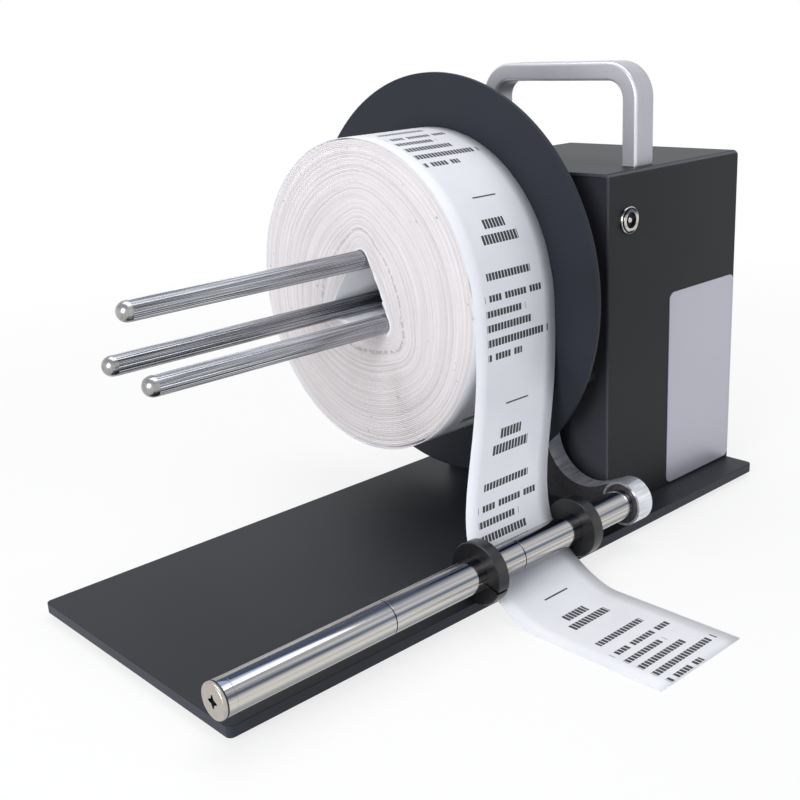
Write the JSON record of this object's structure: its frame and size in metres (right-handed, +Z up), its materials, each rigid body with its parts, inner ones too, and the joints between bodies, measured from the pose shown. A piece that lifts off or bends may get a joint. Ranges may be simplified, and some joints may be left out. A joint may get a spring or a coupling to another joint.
{
  "type": "label rewinder",
  "caption": "Bench-top label rewinder: a motor housing turns a flanged disc with winding rods, and a swing arm carries a chrome guide bar that steers the printed ribbon.",
  "frame": {"origin": "on the table, at the middle of the rubber sheet under the base plate", "axes": "+X along the base plate from its free end to the motor housing, +Y to the back, away from the guide bar, +Z up"},
  "size_m": [0.2957, 0.2445, 0.1785],
  "materials": {
    "charcoal_paint": "satin powder paint",
    "mat_rubber": "matt",
    "collar_rubber": "matt",
    "zinc_steel": "zinc plated",
    "dark_steel": "black oxide",
    "ground_steel": "ground",
    "rod_steel": "fine lengthways knurl, smooth nose",
    "handle_aluminium": "satin anodised",
    "plain_aluminium": "turned",
    "arm_aluminium": "dark faces, bright machined edges",
    "bright_chrome": "polished",
    "warm_nickel": "satin",
    "silver_film": "satin film, bare",
    "label_ribbon": null,
    "ferrite": "matt",
    "bronze": "plain",
    "pale_plastic": "matt",
    "black_plastic": "matt",
    "board_green": "lacquered board"
  },
  "bodies": {
    "base": {"base_plate": "charcoal_paint", "rubber_mat": "mat_rubber", "base_screws": "zinc_steel", "clinch_nuts": "zinc_steel", "housing_cover": "charcoal_paint", "motor_panel": "charcoal_paint", "rear_panel": "charcoal_paint", "carry_handle": "handle_aluminium", "handle_screws": "zinc_steel", "power_inlet": "bright_chrome", "inlet_nut": "bright_chrome", "rating_plate": "silver_film", "spindle_bearings": "ground_steel", "label_web": "label_ribbon", "label_tail": "label_ribbon", "gearbox_case": "plain_aluminium", "gearbox_screws": "dark_steel", "idler_pin": "ground_steel", "motor_plate": "plain_aluminium", "motor_can": "zinc_steel", "motor_magnets": "ferrite", "motor_bushes": "bronze", "motor_end_cap": "pale_plastic", "pivot_bush": "bronze", "arm_sensor": "black_plastic", "arm_stops": "black_plastic", "control_board": "board_green", "board_parts": "black_plastic", "board_standoffs": "bronze", "board_screws": "zinc_steel", "speed_control": "zinc_steel", "switch_body": "black_plastic"},
    "spindle": {"spindle_shaft": "ground_steel", "spindle_hub": "plain_aluminium", "hub_set_screw": "dark_steel", "flange_disc": "charcoal_paint", "rod_1": "rod_steel", "rod_2": "rod_steel", "rod_3": "rod_steel", "rod_screws": "dark_steel", "output_gear": "ground_steel", "label_roll": "label_ribbon"},
    "idler": {"idler_gear": "ground_steel"},
    "rotor": {"rotor_shaft": "ground_steel", "rotor_core": "ferrite", "motor_pinion": "bronze"},
    "arm": {"swing_arm": "arm_aluminium", "arm_set_screw": "dark_steel", "arm_pivot_shaft": "ground_steel", "arm_circlip": "dark_steel", "arm_flag": "pale_plastic", "guide_shaft": "ground_steel", "end_cap": "warm_nickel"},
    "sleeve_1": {"guide_sleeve_1": "bright_chrome"},
    "sleeve_2": {"guide_sleeve_2": "bright_chrome"},
    "sleeve_3": {"guide_sleeve_3": "bright_chrome"},
    "collar_1": {"guide_collar_1": "collar_rubber"},
    "collar_2": {"guide_collar_2": "collar_rubber"},
    "knob": {"speed_knob": "black_plastic"},
    "rocker": {"switch_rocker": "black_plastic"}
  },
  "joints": [
    {"name": "spindle_turn", "type": "hinge", "parent": "base", "child": "spindle", "pos_m": [0, 0.0315, 0.095], "axis": [1, 0, 0], "continuous": true},
    {"name": "idler_turn", "type": "hinge", "parent": "base", "child": "idler", "pos_m": [0, 0.028, 0.10378], "axis": [1, 0, 0], "continuous": true},
    {"name": "rotor_turn", "type": "hinge", "parent": "base", "child": "rotor", "pos_m": [0, 0.0245, 0.095], "axis": [1, 0, 0], "continuous": true},
    {"name": "arm_swing", "type": "hinge", "parent": "base", "child": "arm", "pos_m": [0, -0.018, 0.08], "axis": [-1, 0, 0], "range_deg": [0, 28], "deforming": ["label_web", "label_tail"]},
    {"name": "sleeve_1_turn", "type": "hinge", "parent": "arm", "child": "sleeve_1", "pos_m": [0, -0.05925, 0.0179], "axis": [1, 0, 0], "continuous": true},
    {"name": "sleeve_2_turn", "type": "hinge", "parent": "arm", "child": "sleeve_2", "pos_m": [0, -0.05925, 0.0179], "axis": [1, 0, 0], "continuous": true},
    {"name": "sleeve_3_turn", "type": "hinge", "parent": "arm", "child": "sleeve_3", "pos_m": [0, -0.05925, 0.0179], "axis": [1, 0, 0], "continuous": true},
    {"name": "collar_1_slide", "type": "slide", "parent": "sleeve_2", "child": "collar_1", "axis": [1, 0, 0], "range_m": [-0.04, 0]},
    {"name": "collar_2_slide", "type": "slide", "parent": "sleeve_3", "child": "collar_2", "axis": [1, 0, 0], "range_m": [0, 0.023]},
    {"name": "knob_turn", "type": "hinge", "parent": "base", "child": "knob", "pos_m": [0.14, 0.019, 0.114], "axis": [1, 0, 0], "range_deg": [-135, 135]},
    {"name": "rocker_tilt", "type": "hinge", "parent": "base", "child": "rocker", "pos_m": [0.135, -0.019, 0.114], "axis": [0, 1, 0], "range_deg": [-10, 10]}
  ],
  "couplings": [
    {"joint": "idler_turn", "follows": "spindle_turn", "ratio": -3.2},
    {"joint": "rotor_turn", "follows": "spindle_turn", "ratio": 10.24}
  ]
}
